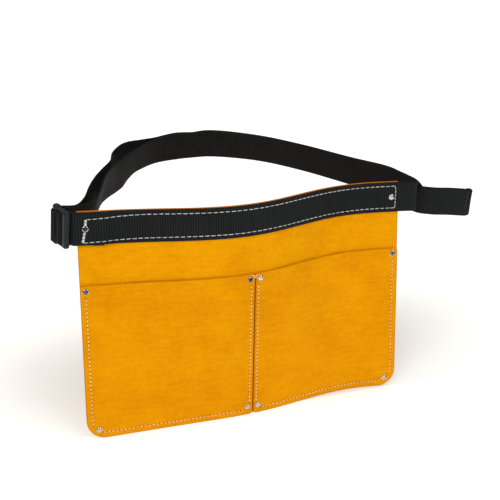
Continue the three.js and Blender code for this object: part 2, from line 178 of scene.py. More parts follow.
def makeSuede(name, tones):
    material, nodes, links, shader = newMaterial(name)
    place = objectPlace(nodes)
    mottle = noise(nodes, links, place, suede["mottleScale"], 5, 0.62)
    grain = noise(nodes, links, place, suede["grainScale"], 5, 0.7)
    level = stretched(nodes, links, place, (0.2, 0.2, 1.5))
    streak = noise(nodes, links, level, suede["streakScale"], 3, 0.6)
    brushed = stretched(nodes, links, place, (1, 1, 0.35))
    nap = noise(nodes, links, brushed, suede["napScale"], 3, 0.75)
    clouds = calculate(nodes, links, "MULTIPLY", mottle, 0.38)
    patches = calculate(nodes, links, "MULTIPLY_ADD", streak, 0.3, clouds)
    blotches = calculate(nodes, links, "MULTIPLY_ADD", grain, 0.32, patches)
    color = ramp(nodes, links, blotches, [(0.38, tones[0]), (0.5, tones[1]), (0.62, tones[2])])
    fibres = ramp(nodes, links, nap, [(0.32, (0.80, 0.76, 0.70)), (0.62, (1, 1, 1))])
    color = blendColors(nodes, links, 0.55, color, fibres, "MULTIPLY")
    edge = attribute(nodes, "edge")
    rough = calculate(nodes, links, "MULTIPLY_ADD", grain, 0.5, 0.5)
    worn = calculate(nodes, links, "MULTIPLY", edge, rough)
    color = blendColors(nodes, links, worn, color, suede["cutEdge"])
    links.new(color, shader.inputs["Base Color"])
    links.new(spread(nodes, links, nap, 0.3, 0.7, 0.96, 0.84), shader.inputs["Roughness"])
    shader.inputs["Specular IOR Level"].default_value = 0.03
    shader.inputs["Sheen Weight"].default_value = 0.05
    shader.inputs["Sheen Roughness"].default_value = 0.55
    shader.inputs["Sheen Tint"].default_value = (1.0, 0.62, 0.16, 1)
    coarse = bump(nodes, links, grain, 0.0007, 0.45)
    links.new(bump(nodes, links, nap, 0.00035, 0.5, coarse), shader.inputs["Normal"])
    return material


webbingFinish = {
    # colours of the weave: painted shade in the valleys, the yarn's own tone, painted highlight on the crests
    "valley": (0.0006, 0.0007, 0.0008),
    "yarn": (0.0040, 0.0045, 0.0050),
    "crest": (0.0122, 0.0142, 0.0146),
    "yarnPitch": 0.00105,
    "ribPitch": 0.0019,
}


def makeWebbing(name):
    material, nodes, links, shader = newMaterial(name)
    uv = addNode(nodes, "ShaderNodeUVMap", uv_map="along").outputs["UV"]
    place = objectPlace(nodes)
    parts = addNode(nodes, "ShaderNodeSeparateXYZ")
    links.new(uv, parts.inputs["Vector"])
    turn = 2 * math.pi
    across = calculate(nodes, links, "MULTIPLY", parts.outputs["X"], turn / webbingFinish["yarnPitch"])
    along = calculate(nodes, links, "MULTIPLY", parts.outputs["Y"], math.pi / webbingFinish["ribPitch"])
    skew = calculate(nodes, links, "MULTIPLY", parts.outputs["Y"], turn / webbingFinish["ribPitch"] / 2)
    yarn = calculate(nodes, links, "SINE", calculate(nodes, links, "ADD", across, skew))
    rib = calculate(nodes, links, "ABSOLUTE", calculate(nodes, links, "SINE", along))
    weave = calculate(nodes, links, "MULTIPLY_ADD", yarn, 0.3, rib)
    fuzz = noise(nodes, links, place, 3200, 3, 0.7)
    dust = noise(nodes, links, place, 60, 5, 0.65)
    # painted shade and highlight: darker down in the weave, lighter on its crests
    lit = calculate(nodes, links, "MULTIPLY_ADD", fuzz, 0.35, calculate(nodes, links, "MULTIPLY", weave, 0.6))
    color = ramp(nodes, links, lit, [
        (0.22, webbingFinish["valley"]), (0.52, webbingFinish["yarn"]), (0.8, webbingFinish["crest"])])
    faded = ramp(nodes, links, dust, [(0.35, (0.86, 0.86, 0.9)), (0.7, (1.2, 1.2, 1.2))])
    links.new(blendColors(nodes, links, 1.0, color, faded, "MULTIPLY"), shader.inputs["Base Color"])
    links.new(spread(nodes, links, fuzz, 0.3, 0.7, 0.62, 0.82), shader.inputs["Roughness"])
    shader.inputs["Specular IOR Level"].default_value = 0.16
    shader.inputs["Sheen Weight"].default_value = 0.02
    shader.inputs["Sheen Roughness"].default_value = 0.4
    shader.inputs["Sheen Tint"].default_value = (0.55, 0.62, 0.8, 1)
    first = bump(nodes, links, weave, 0.00018, 0.6)
    links.new(bump(nodes, links, fuzz, 0.00012, 0.5, first), shader.inputs["Normal"])
    return material


def makeThread(name, dark, light, roughness):
    material, nodes, links, shader = newMaterial(name)
    place = objectPlace(nodes)
    fibre = noise(nodes, links, place, 4200, 3, 0.7)
    soil = noise(nodes, links, place, 170, 4, 0.6)
    tone = calculate(nodes, links, "MULTIPLY_ADD", soil, 0.6, calculate(nodes, links, "MULTIPLY", fibre, 0.4))
    links.new(ramp(nodes, links, tone, [(0.36, dark), (0.58, light)]), shader.inputs["Base Color"])
    links.new(spread(nodes, links, fibre, 0.3, 0.7, roughness, roughness + 0.15), shader.inputs["Roughness"])
    shader.inputs["Sheen Weight"].default_value = 0.2
    links.new(bump(nodes, links, fibre, 0.0001, 0.5), shader.inputs["Normal"])
    return material


def makeNickel(name):
    material, nodes, links, shader = newMaterial(name)
    place = objectPlace(nodes)
    cloud = noise(nodes, links, place, 420, 4, 0.6)
    scratch = noise(nodes, links, stretched(nodes, links, place, (1, 0.15, 0.4)), 5200, 2, 0.6)
    color = ramp(nodes, links, cloud, [(0.35, (0.42, 0.405, 0.385)), (0.62, (0.64, 0.62, 0.60))])
    # painted dark reflection: where the attribute says so, the dome goes nearly black
    color = blendColors(nodes, links, attribute(nodes, "dark_reflection"), color, (0.022, 0.02, 0.02))
    rubbed = spread(nodes, links, attribute(nodes, "edge"), 0.3, 0.9, 0, 1)
    worn = blendColors(nodes, links, rubbed, color, (0.82, 0.81, 0.80))
    links.new(worn, shader.inputs["Base Color"])
    links.new(spread(nodes, links, cloud, 0.3, 0.7, 0.1, 0.22), shader.inputs["Roughness"])
    shader.inputs["Metallic"].default_value = 1
    links.new(bump(nodes, links, scratch, 0.00004, 0.35), shader.inputs["Normal"])
    return material


def makePlastic(name):
    material, nodes, links, shader = newMaterial(name)
    place = objectPlace(nodes)
    flow = noise(nodes, links, place, 120, 4, 0.6)
    spark = noise(nodes, links, place, 3600, 3, 0.6)
    color = ramp(nodes, links, flow, [(0.35, (0.0024, 0.0050, 0.0080)), (0.65, (0.0052, 0.0094, 0.0135))])
    scuff = calculate(nodes, links, "MULTIPLY", attribute(nodes, "edge"), spark)
    color = blendColors(nodes, links, scuff, color, (0.03, 0.041, 0.052))
    links.new(color, shader.inputs["Base Color"])
    links.new(spread(nodes, links, spark, 0.3, 0.7, 0.34, 0.5), shader.inputs["Roughness"])
    shader.inputs["Specular IOR Level"].default_value = 0.24
    links.new(bump(nodes, links, spark, 0.00006, 0.35), shader.inputs["Normal"])
    return material


# the walls of needle and rivet holes: a dark brown, painted shade in the holes
def makeHole(name):
    material, nodes, links, shader = newMaterial(name)
    place = objectPlace(nodes)
    burr = noise(nodes, links, place, 2400, 3, 0.6)
    color = ramp(nodes, links, burr, [(0.4, (0.16, 0.045, 0.0)), (0.7, (0.30, 0.09, 0.001))])
    links.new(color, shader.inputs["Base Color"])
    links.new(spread(nodes, links, burr, 0.3, 0.7, 0.85, 0.98), shader.inputs["Roughness"])
    links.new(bump(nodes, links, burr, 0.0002, 0.5), shader.inputs["Normal"])
    return material


panelSuede = makeSuede("suede of the back panel", suede["panelTones"])
pocketSuede = makeSuede("suede of the pockets", suede["pocketShadedTones"])
blackWebbing = makeWebbing("black webbing")
whiteThread = makeThread("white thread", (0.36, 0.355, 0.34), (0.64, 0.635, 0.61), 0.65)
tanThread = makeThread("tan thread", (0.74, 0.37, 0.06), (0.93, 0.59, 0.16), 0.65)
blackThread = makeThread("black thread", (0.006, 0.007, 0.008), (0.014, 0.015, 0.018), 0.7)
nickel = makeNickel("nickel")
sliderPlastic = makePlastic("slider plastic")
holeShade = makeHole("painted shade in holes")
print("materials made")


def putInScene(name, data):
    thing = bpy.data.objects.new(name, data)
    bpy.context.scene.collection.objects.link(thing)
    return thing


def shadeSmooth(mesh):
    mesh.polygons.foreach_set("use_smooth", [True] * len(mesh.polygons))


def addPiece(name, points, faces, materials):
    mesh = bpy.data.meshes.new(name)
    mesh.from_pydata(inRow(points).tolist(), [], [list(face) for face in faces])
    shadeSmooth(mesh)
    mesh.update()
    for material in materials:
        mesh.materials.append(material)
    return putInScene(name, mesh)


def turnOutward(mesh):
    check = bmesh.new()
    check.from_mesh(mesh)
    bmesh.ops.recalc_face_normals(check, faces=check.faces)
    check.to_mesh(mesh)
    check.free()


def setAttribute(piece, name, values):
    layer = piece.data.attributes.new(name, "FLOAT", "POINT")
    layer.data.foreach_set("value", np.asarray(values, np.float32).ravel())


def gridFaces(rows, columns, start=0, flip=False):
    first = (np.arange(rows - 1)[:, None] * columns + np.arange(columns - 1)[None, :]).ravel() + start
    quads = np.stack([first, first + 1, first + columns + 1, first + columns], -1)
    return quads[:, ::-1] if flip else quads


def markEdges(piece, gain):
    mesh = piece.data
    points = np.empty(len(mesh.vertices) * 3)
    mesh.vertices.foreach_get("co", points)
    points = points.reshape(-1, 3)
    normals = np.array([v.normal for v in mesh.vertices])
    pairs = np.empty(len(mesh.edges) * 2, int)
    mesh.edges.foreach_get("vertices", pairs)
    total, count = np.zeros(len(points)), np.zeros(len(points))
    for a, b in ((0, 1), (1, 0)):
        here, there = pairs[a::2], pairs[b::2]
        away = unit(points[there] - points[here] + 1e-12)
        np.add.at(total, here, -(away * normals[here]).sum(1))
        np.add.at(count, here, 1)
    setAttribute(piece, "edge", np.clip(gain * total / np.maximum(count, 1), 0, 1))


def applyModifiers(piece):
    graph = bpy.context.evaluated_depsgraph_get()
    mesh = bpy.data.meshes.new_from_object(piece.evaluated_get(graph))
    piece.modifiers.clear()
    old = piece.data
    piece.data = mesh
    bpy.data.meshes.remove(old)


apron = {
    "width": 270, "height": 180, "thickness": 1.8,
    "cornerRadius": 15, "topCornerRadius": 1.2,
    # headings along the width, in degrees: the terms of a cosine series for the top and bottom rows,
    # rounded from a fit made outside this script
    "topWave": [0.05, -9.5, -8.2, 10.6, -0.6],
    "bottomWave": [0.7, -0.5, -4.8, 5.7, -2.4],
    "topMiddle": (5.3, 11.3),
    "ripple": 0.28,      # height of the leather's own small waves
    "edgeRounding": 0.55,
    "gap": 0.3,          # between pieces that touch
    "topTrim": 0.7,      # the top edge is cut this far below the full height
}
pocket = {
    "height": 123, "halfGap": 0.35, "innerCornerRadius": 3, "mouthCornerRadius": 1.5,
    "belly": 0.35,  # how far the mouth stands off the back panel
    "skive": 0.4,   # share of the thickness pared away at the mouth
    "border": 7, "pillow": 0.45,
}
waveSteps = 1080


def planCurve(series, middle):
    t = (np.arange(waveSteps) + 0.5) / waveSteps
    heading = np.radians(sum(a * np.cos(k * np.pi * t) for k, a in enumerate(series)))
    step = apron["width"] / waveSteps
    x = np.concatenate([[0], np.cumsum(np.cos(heading)) * step])
    y = np.concatenate([[0], np.cumsum(np.sin(heading)) * step])
    x += middle[0] - x[waveSteps // 2]
    y += middle[1] - y[waveSteps // 2]
    places = np.linspace(0, apron["width"], waveSteps + 1)
    return lambda s: np.stack([np.interp(s, places, x), np.interp(s, places, y)], -1)


topRow = planCurve(apron["topWave"], apron["topMiddle"])
bottomRow = planCurve(apron["bottomWave"], (0, 0))


def rearFace(s, z):
    s, z = np.broadcast_arrays(np.asarray(s, float), np.asarray(z, float))
    low, high = bottomRow(s), topRow(s)
    flat = low + (high - low) * (z / apron["height"])[..., None]
    return np.concatenate([flat, z[..., None]], -1)


def directions(s, z):
    s = np.clip(s, 1, apron["width"] - 1)
    along = unit(rearFace(s + 1, z) - rearFace(s - 1, z))
    up = unit(rearFace(s, z + 1) - rearFace(s, z - 1))
    return along, up, unit(np.cross(along, up))


def ripple(s, z):
    wave = np.sin(s / 23 + 0.4 * np.sin(z / 31)) * np.sin(z / 37 + 1.1)
    wave = wave + 0.5 * np.sin(s / 11.5 - z / 19 + 2) * np.cos(z / 14 - s / 47)
    return apron["ripple"] * wave * ease(z / 40)


def onSheet(s, z, offset):
    s, z = np.asarray(s, float), np.asarray(z, float)
    front = directions(s, z)[2]
    return rearFace(s, z) + front * (np.asarray(offset, float) + ripple(s, z))[..., None]


def edgeDistance(s, z, left, right, top, radii):
    result = np.minimum(np.minimum(s - left, right - s), np.minimum(z, top - z))
    corners = [(s - left, z), (right - s, z), (s - left, top - z), (right - s, top - z)]
    for radius, (x, y) in zip(radii, corners):
        inside = (x < radius) & (y < radius)
        round_ = radius - np.hypot(radius - x, radius - y)
        result = np.where(inside, round_, result)
    return np.maximum(result, 0)


def inset(radius, distance):
    t = np.clip(radius - distance, 0, radius)
    return radius - np.sqrt(radius ** 2 - t ** 2)


edgeSteps = np.array([0, 0.05, 0.16, 0.33, 0.55, 0.9, 1.5])
cornerSteps = np.array([2.4, 3.5, 4.8, 6.2, 7.8, 9.5, 11.3, 13.2, 15])
sheetSpacing = 1.5


def leatherSheet(name, left, right, top, radii, innerAt, material, skive=0.0):
    upper = top - edgeSteps[::-1]
    middle = np.arange(cornerSteps[-1] + sheetSpacing, upper[0] - 0.5, sheetSpacing)
    heights = np.concatenate([edgeSteps, cornerSteps, middle, upper])
    columns = int((right - left - 2 * edgeSteps[-1]) / sheetSpacing)
    rows = []
    for z in heights:
        begin = left + max(inset(radii[0], z), inset(radii[2], top - z))
        end = right - max(inset(radii[1], z), inset(radii[3], top - z))
        inner = np.linspace(begin + edgeSteps[-1], end - edgeSteps[-1], columns + 1)
        rows.append(np.concatenate([begin + edgeSteps[:-1], inner, end - edgeSteps[-2::-1]]))
    s = np.array(rows)
    z = np.repeat(heights[:, None], s.shape[1], 1)
    distance = edgeDistance(s, z, left, right, top, radii)
    rounding = apron["edgeRounding"]
    half = apron["thickness"] / 2 * (1 - skive * (1 - ease((top - z) / 6)))
    fall = 1 - np.sqrt(np.clip(1 - (1 - np.clip(distance / rounding, 0, 1)) ** 2, 0, 1))
    reach = np.maximum(half - rounding * fall, 0.1)
    base = innerAt(s, z) + half
    rear, front = onSheet(s, z, base - reach), onSheet(s, z, base + reach - seamGroove(s, z))
    points = np.concatenate([rear.reshape(-1, 3), front.reshape(-1, 3)])
    points[:, 2] = np.maximum(points[:, 2], 0)
    count, width = s.shape
    far = count * width
    faces = [gridFaces(count, width, 0, True), gridFaces(count, width, far)]
    c = np.arange(width - 1)
    r = np.arange(count - 1) * width
    last = (count - 1) * width
    faces.append(np.stack([c, c + 1, far + c + 1, far + c], -1))
    faces.append(np.stack([far + last + c, far + last + c + 1, last + c + 1, last + c], -1))
    faces.append(np.stack([r, far + r, far + r + width, r + width], -1))
    end = width - 1
    faces.append(np.stack([far + end + r, end + r, end + r + width, far + end + r + width], -1))
    piece = addPiece(name, points, np.concatenate(faces), [material, holeShade])
    edge = 1 - ease((distance - 0.15) / 0.9)
    edge = edge * (1 - 1.5 * skive * (1 - ease((top - z - 0.2) / 1.2)))  # a thinned mouth is cut cleaner
    setAttribute(piece, "edge", np.concatenate([edge.ravel(), edge.ravel()]))
    return piece


seams = {
    "inset": 4.5, "leftCentreInset": 3.2, "rightCentreInset": 2.7, "pitch": 3.2, "stitch": 2.45,
    "clearRivet": 2.9,   # no stitch starts nearer than this to a rivet's middle
    "holeRadius": 0.42, "threadWidth": 0.95, "threadHeight": 0.75, "groove": 0.22,
}
waistband = {
    "width": 25, "thickness": 1.4, "middle": 166.6, "underOffset": 2.8, "overOffset": 4.5,
    "underlap": 20, "layerStep": 8, "seamHeight": 9, "seamPitch": 4.5, "stitch": 4.0,
    "barLeft": 6.5, "barRight": 266.9,
    # width and height of a stitch: needle side, bobbin side, and the doubled bar tack at the left
    "needle": (0.55, 0.5), "bobbin": (0.9, 0.7), "tack": (1.15, 0.95), "tackStitch": 2.75,
}
middle = apron["width"] / 2
rivets = {
    "left_pocket_top_outer": (4.4, 118.6), "left_pocket_top_inner": (middle - 4.4, 118.6),
    "left_pocket_bottom_outer": (9.4, 7.1), "left_pocket_bottom_inner": (middle - 4.6, 7.1),
    "right_pocket_top_inner": (middle + 4.4, 118.6), "right_pocket_top_outer": (265.6, 118.6),
    "right_pocket_bottom_inner": (middle + 4.6, 7.1), "right_pocket_bottom_outer": (260.6, 7.1),
    "waistband_left": (6.5, 166.6), "waistband_right": (263.5, 166.6),
}


def pocketSeam(side):
    edge, direction = (0, 1) if side == "left" else (apron["width"], -1)
    down, around = seams["inset"], apron["cornerRadius"]
    turn = np.radians(np.linspace(180, 270, 13))
    arc = [(around + (around - down) * math.cos(a), around + (around - down) * math.sin(a)) for a in turn]
    inner = middle - seams[side + "CentreInset"]
    small = np.radians(np.linspace(270, 360, 7))
    bend = 2.5
    arc += [(inner - bend + bend * math.cos(a), down + bend + bend * math.sin(a)) for a in small]
    route = [(down, pocket["height"] - 3)] + arc + [(inner, pocket["height"] - 3)]
    return np.array([(edge + direction * s, z) for s, z in route])


pocketRoutes = {side: pocketSeam(side) for side in ("left", "right")}


def alongRoute(route, distances):
    steps = np.linalg.norm(np.diff(route, axis=0), axis=1)
    lengths = np.concatenate([[0], np.cumsum(steps)])
    return np.stack([np.interp(distances, lengths, route[:, k]) for k in (0, 1)], -1), lengths[-1]


def stitchEnds(route, pitch, clear=0.0):
    length = alongRoute(route, [0])[1]
    count = int(round(length / pitch))
    holes = alongRoute(route, np.linspace(0, length, count + 1))[0]
    centres = np.array(list(rivets.values()))
    near = np.linalg.norm(holes[:, None, :] - centres[None], axis=-1).min(1) < clear
    return [(holes[i], holes[i + 1]) for i in range(count) if not near[i] and not near[i + 1]]


def seamGroove(s, z):
    depth = np.zeros(np.shape(s))
    for route in pocketRoutes.values():
        nearest = np.full(np.shape(s), 99.0)
        for a, b in zip(route[:-1], route[1:]):
            d = b - a
            t = np.clip(((s - a[0]) * d[0] + (z - a[1]) * d[1]) / (d @ d), 0, 1)
            nearest = np.minimum(nearest, np.hypot(s - a[0] - d[0] * t, z - a[1] - d[1] * t))
        depth = np.maximum(depth, np.exp(-(nearest / 1.1) ** 2))
    return seams["groove"] * depth


rivetHole = 1.5  # radius of the hole punched for a post


def prism(centre, axis, along, radius, reach, sides):
    across = np.cross(axis, along)
    angles = np.arange(sides) * 2 * np.pi / sides
    ring = centre + radius * (np.cos(angles)[:, None] * along + np.sin(angles)[:, None] * across)
    return np.concatenate([ring - axis * reach, ring + axis * reach])


def pierce(piece, holes, posts):
    points, faces = [], []
    needles = [(p, seams["holeRadius"], 8) for p in holes]
    for (s, z), radius, sides in needles + [(p, rivetHole, 20) for p in posts]:
        along, _, front = directions(s, z)
        start = sum(len(p) for p in points)
        points.append(prism(onSheet(s, z, 2.5), front, along, radius, 12, sides))
        ring = list(range(start, start + sides))
        faces.append(ring[::-1])
        faces.append([i + sides for i in ring])
        faces += [[ring[i], ring[(i + 1) % sides], ring[(i + 1) % sides] + sides, ring[i] + sides]
                  for i in range(sides)]
    mesh = bpy.data.meshes.new("needle")
    mesh.from_pydata(inRow(np.concatenate(points)).tolist(), [], faces)
    mesh.materials.append(panelSuede)
    mesh.materials.append(holeShade)
    mesh.polygons.foreach_set("material_index", [1] * len(mesh.polygons))
    needle = putInScene("needle", mesh)
    turnOutward(mesh)
    cut = piece.modifiers.new("pierce", "BOOLEAN")
    cut.operation, cut.solver, cut.object = "DIFFERENCE", "MANIFOLD", needle
    before = len(piece.data.vertices)
    applyModifiers(piece)
    bpy.data.objects.remove(needle)
    print("  pierced", piece.name, before, "->", len(piece.data.vertices), "points")


def finishLeather(piece):
    shadeSmooth(piece.data)
    piece.data.set_sharp_from_angle(angle=math.radians(48))


pocketStitches = {side: stitchEnds(route, seams["pitch"], seams["clearRivet"])
                  for side, route in pocketRoutes.items()}
pocketHoles = {side: np.unique(np.round(np.array(pairs).reshape(-1, 2), 3), axis=0)
               for side, pairs in pocketStitches.items()}

bandSeam = {}
for row, height in (("top", 1), ("bottom", -1)):
    z = waistband["middle"] + height * waistband["seamHeight"]
    sag = 2.3 if row == "top" else 1.3  # the rows run a little low at the left end
    begin = waistband["barLeft"] + (0.5 if row == "top" else -2.4)
    places = np.linspace(begin, waistband["barRight"], 40)
    route = np.stack([places, z - sag * (1 - ease(places / 55))], -1)
    bandSeam[row] = stitchEnds(route, waistband["seamPitch"])
barReach = waistband["seamHeight"]
leftBar = waistband["barLeft"] + np.array([(0.6, 0), (0.3, 0), (-0.6, 0), (-2.2, 0)])
leftBar[:, 1] = waistband["middle"] + np.array([barReach - 2.1, 2.4, -2.4, -barReach - 1.2])
rightBar = np.array([(waistband["barRight"], waistband["middle"] + barReach),
                     (waistband["barRight"] + 0.3, waistband["middle"] + 3.2),
                     (waistband["barRight"] - 0.1, waistband["middle"] - 2.6),
                     (waistband["barRight"] - 0.3, waistband["middle"] - barReach)])
bandSeam["left"] = stitchEnds(leftBar[:2], 2.25) + stitchEnds(leftBar[2:], 2.6)
bandSeam["right"] = stitchEnds(rightBar, 3.1, 2.9)
bandHoles = np.unique(np.round(np.array(
    [p for pairs in bandSeam.values() for pair in pairs for p in pair]), 3), axis=0)

backPanel = leatherSheet(
    "back_panel_leather", 0, apron["width"], apron["height"] - apron["topTrim"],
    [apron["cornerRadius"]] * 2 + [apron["topCornerRadius"]] * 2,
    lambda s, z: np.zeros(np.shape(s)), panelSuede)
pierce(backPanel, np.concatenate([pocketHoles["left"], pocketHoles["right"], bandHoles]), rivets.values())
finishLeather(backPanel)


def pocketInner(left, right):
    def innerAt(s, z):
        border = pocket["border"]
        across = np.clip((s - left - border) / (right - left - 2 * border), 0, 1)
        height = np.clip((z - border) / (pocket["height"] - border), 0, 1)
        belly = pocket["belly"] * ease(np.minimum(1, 3.2 * np.minimum(across, 1 - across))) * ease(height)
        edge = np.minimum(np.minimum(s - left, right - s), z)
        pillow = pocket["pillow"] * ease((edge - 5) / 14) * (1 - ease((z - 90) / 33))
        lip = 0.2 * np.sin(s / 9.5 + 0.7) * ease((z - 96) / 27) * ease((edge - 6) / 22)
        return apron["thickness"] + apron["gap"] + belly + pillow + np.abs(lip)
    return innerAt


pockets = {}
pocketEdges = {"left": (0, middle - pocket["halfGap"]),
               "right": (middle + pocket["halfGap"], apron["width"])}
for side, (left, right) in pocketEdges.items():
    lower = [apron["cornerRadius"], pocket["innerCornerRadius"]]
    lower = lower if side == "left" else lower[::-1]
    piece = leatherSheet(
        f"{side}_pocket_leather", left, right, pocket["height"],
        lower + [pocket["mouthCornerRadius"]] * 2, pocketInner(left, right), pocketSuede, pocket["skive"])
    pierce(piece, pocketHoles[side], [p for name, p in rivets.items() if name.startswith(side)])
    finishLeather(piece)
    pockets[side] = piece
print("leather made")


webbing = {
    "ribPitch": 1.9, "ribDepth": 0.26, "stationsPerRib": 4,
    "sliderPlace": (-138.8, 33.2), "sliderHeading": 110, "sliderTilt": 5.5, "barPitch": 8.4,
    "loopRadius": 2.6, "loopWrap": 125, "turnRadius": 3.5, "turnHeading": 36, "turnLeg": 5.2,
    "hem": 4.6, "foldRadius": 0.86, "cornerNip": 0.11,
    # how far past the apron the right-hand end turns, how far forward, and how much it sinks
    "endRun": 11.6, "endForward": 1.2, "endRadius": 6.4, "endDrop": 1.2,
}


def centripetal(points, perSpan):
    points = np.asarray(points, float)
    padded = np.vstack([2 * points[0] - points[1], points, 2 * points[-1] - points[-2]])
    result = []
    for i in range(len(points) - 1):
        p0, p1, p2, p3 = padded[i:i + 4]
        knots = np.cumsum([0] + [max(np.linalg.norm(b - a), 1e-6) ** 0.5
                                 for a, b in ((p0, p1), (p1, p2), (p2, p3))])
        last = i == len(points) - 2
        t = mix(knots[1], knots[2], np.linspace(0, 1, perSpan + 1)[:None if last else -1])[:, None]
        a1 = (knots[1] - t) / (knots[1] - knots[0]) * p0 + (t - knots[0]) / (knots[1] - knots[0]) * p1
        a2 = (knots[2] - t) / (knots[2] - knots[1]) * p1 + (t - knots[1]) / (knots[2] - knots[1]) * p2
        a3 = (knots[3] - t) / (knots[3] - knots[2]) * p2 + (t - knots[2]) / (knots[3] - knots[2]) * p3
        b1 = (knots[2] - t) / (knots[2] - knots[0]) * a1 + (t - knots[0]) / (knots[2] - knots[0]) * a2
        b2 = (knots[3] - t) / (knots[3] - knots[1]) * a2 + (t - knots[1]) / (knots[3] - knots[1]) * a3
        result.append((knots[2] - t) / (knots[2] - knots[1]) * b1 + (t - knots[1]) / (knots[2] - knots[1]) * b2)
    return np.vstack(result)


def route(points, perSpan=14):
    table = np.array([list(p) + [0] * (4 - len(p)) for p in points], float)
    places = centripetal(table[:, :3], perSpan)
    shares = np.linspace(0, len(table) - 1, len(places))
    lean = np.radians(np.interp(shares, np.arange(len(table)), table[:, 3]))
    tangents = np.gradient(places, axis=0)
    right = unit(np.stack([tangents[:, 1], -tangents[:, 0], np.zeros(len(places))], -1))
    ups = np.cos(lean)[:, None] * np.array([0, 0, 1.0]) + np.sin(lean)[:, None] * right
    return places, ups


def arcStations(centre, radius, start, end, count, up=(0, 0, 1.0)):
    angles = np.radians(np.linspace(start, end, count + 1))
    places = np.stack([centre[0] + radius * np.cos(angles), centre[1] + radius * np.sin(angles),
                       np.full(count + 1, waistband["middle"])], -1)
    return places, np.tile(up, (count + 1, 1))


def bandStations(s, offset, drop=0.0):
    s = np.asarray(s, float)
    z = np.full(len(s), waistband["middle"]) - drop
    return onSheet(s, z, offset), directions(s, z)[1]


def join(*parts):
    return np.concatenate([p for p, _ in parts]), np.concatenate([u for _, u in parts])


def smoothStations(stations, perSpan):
    places, ups = stations
    fine = centripetal(places, perSpan)
    shares = np.linspace(0, len(places) - 1, len(fine))
    return fine, unit(np.stack([np.interp(shares, np.arange(len(ups)), ups[:, k]) for k in range(3)], -1))


def stationLengths(places):
    return np.concatenate([[0], np.cumsum(np.linalg.norm(np.diff(places, axis=0), axis=1))])


def strapSection():
    flat = [-11.5, -8.5, -5, -1.7, 1.7, 5, 8.5, 11.5]
    half, thick = waistband["width"] / 2, waistband["thickness"] / 2
    selvedge = [(half - 0.35, 0.82, 0.55), (half - 0.03, 0.38, 0.2)]
    section = [(b, 1.0, 1.0 if abs(b) < 11 else 0.8) for b in flat]
    section += [(b, a, r) for b, a, r in selvedge] + [(b, -a, r) for b, a, r in selvedge[::-1]]
    section += [(b, -1.0, 1.0 if abs(b) < 11 else 0.8) for b in flat[::-1]]
    section += [(-b, -a, r) for b, a, r in selvedge] + [(-b, a, r) for b, a, r in selvedge[::-1]]
    return np.array([(b, a * thick, r) for b, a, r in section])


section = strapSection()


def strap(name, stations, start=0.0, roundAt=None):
    places, ups = stations
    lengths = stationLengths(places)
    step = webbing["ribPitch"] / webbing["stationsPerRib"]
    count = int(round(lengths[-1] / step))
    at = np.linspace(0, lengths[-1], count + 1)
    places = np.stack([np.interp(at, lengths, places[:, k]) for k in range(3)], -1)
    ups = unit(np.stack([np.interp(at, lengths, ups[:, k]) for k in range(3)], -1))
    tangents = unit(np.gradient(places, axis=0))
    sides = unit(np.cross(tangents, ups))
    ups = np.cross(sides, tangents)
    phase = np.pi * (at + start) / webbing["ribPitch"]
    crest = np.abs(np.sin(phase))[:, None]
    valley = np.abs(np.cos(phase))[:, None]
    across, through, share = section.T
    sign = np.sign(through)[None, :]
    rib = np.where(sign > 0, crest, valley) - 0.5
    through = through[None, :] + sign * rib * webbing["ribDepth"] * share[None, :]
    across = np.tile(across, (count + 1, 1))
    if roundAt is not None:
        across = across * (1 - webbing["cornerNip"] * np.exp(-((at - roundAt) / 1.5) ** 2))[:, None]
    points = (places[:, None, :] + sides[:, None, :] * through[..., None]
              + ups[:, None, :] * across[..., None])
    ring = len(section)
    first = (np.arange(count)[:, None] * ring + np.arange(ring)[None, :])
    following = (np.arange(count)[:, None] * ring + (np.arange(ring) + 1)[None, :] % ring)
    quads = np.stack([first, following, following + ring, first + ring], -1).reshape(-1, 4)
    corners = points.reshape(-1, 3)
    volume = (corners[quads[:, 0]] * np.cross(corners[quads[:, 1]], corners[quads[:, 2]])).sum()
    volume += (corners[quads[:, 0]] * np.cross(corners[quads[:, 2]], corners[quads[:, 3]])).sum()
    caps = [list(range(ring))[::-1], [count * ring + i for i in range(ring)]]
    faces = [list(q) for q in quads] + caps
    if volume < 0:
        faces = [f[::-1] for f in faces]
    piece = addPiece(name, corners, faces, [blackWebbing])
    layer = piece.data.uv_layers.new(name="along")
    corner = np.empty(len(piece.data.loops), int)
    piece.data.loops.foreach_get("vertex_index", corner)
    u = np.tile(section[:, 0], count + 1)[corner]
    v = np.repeat(at + start, ring)[corner]
    layer.data.foreach_set("uv", (np.stack([u, v], -1) * mm).astype(np.float32).ravel())
    piece.data.set_sharp_from_angle(angle=math.radians(60))
    print("  strap", name, round(lengths[-1]), "mm")
    return piece, lengths[-1]


sliderCentre = np.array([*webbing["sliderPlace"], waistband["middle"]])
sliderLean = math.radians(webbing["sliderTilt"])
sliderUp = np.array([math.sin(sliderLean), 0, math.cos(sliderLean)])
bandStart = onSheet(0.0, waistband["middle"], (waistband["underOffset"] + waistband["overOffset"]) / 2)
loopHeading = math.degrees(math.atan2(sliderCentre[1] - bandStart[1], sliderCentre[0] - bandStart[0]))


def steppedOffset(s):
    t = (np.asarray(s, float) - waistband["underlap"] - 1) / waistband["layerStep"]
    return mix(waistband["overOffset"], waistband["underOffset"], ease(t))


def pastEdge(offset, length):
    along, up, _ = directions(0.0, waistband["middle"])
    return (onSheet(0.0, waistband["middle"], offset) - along * length)[None], up[None]


def neck(heading):
    side = levelHeading(heading)
    up = unit(mix(directions(0.0, waistband["middle"])[1], sliderUp, 0.7))
    place = mix(bandStart, sliderCentre, 0.5) + side * (waistband["thickness"] / 2 + apron["gap"])
    return place[None], up[None]


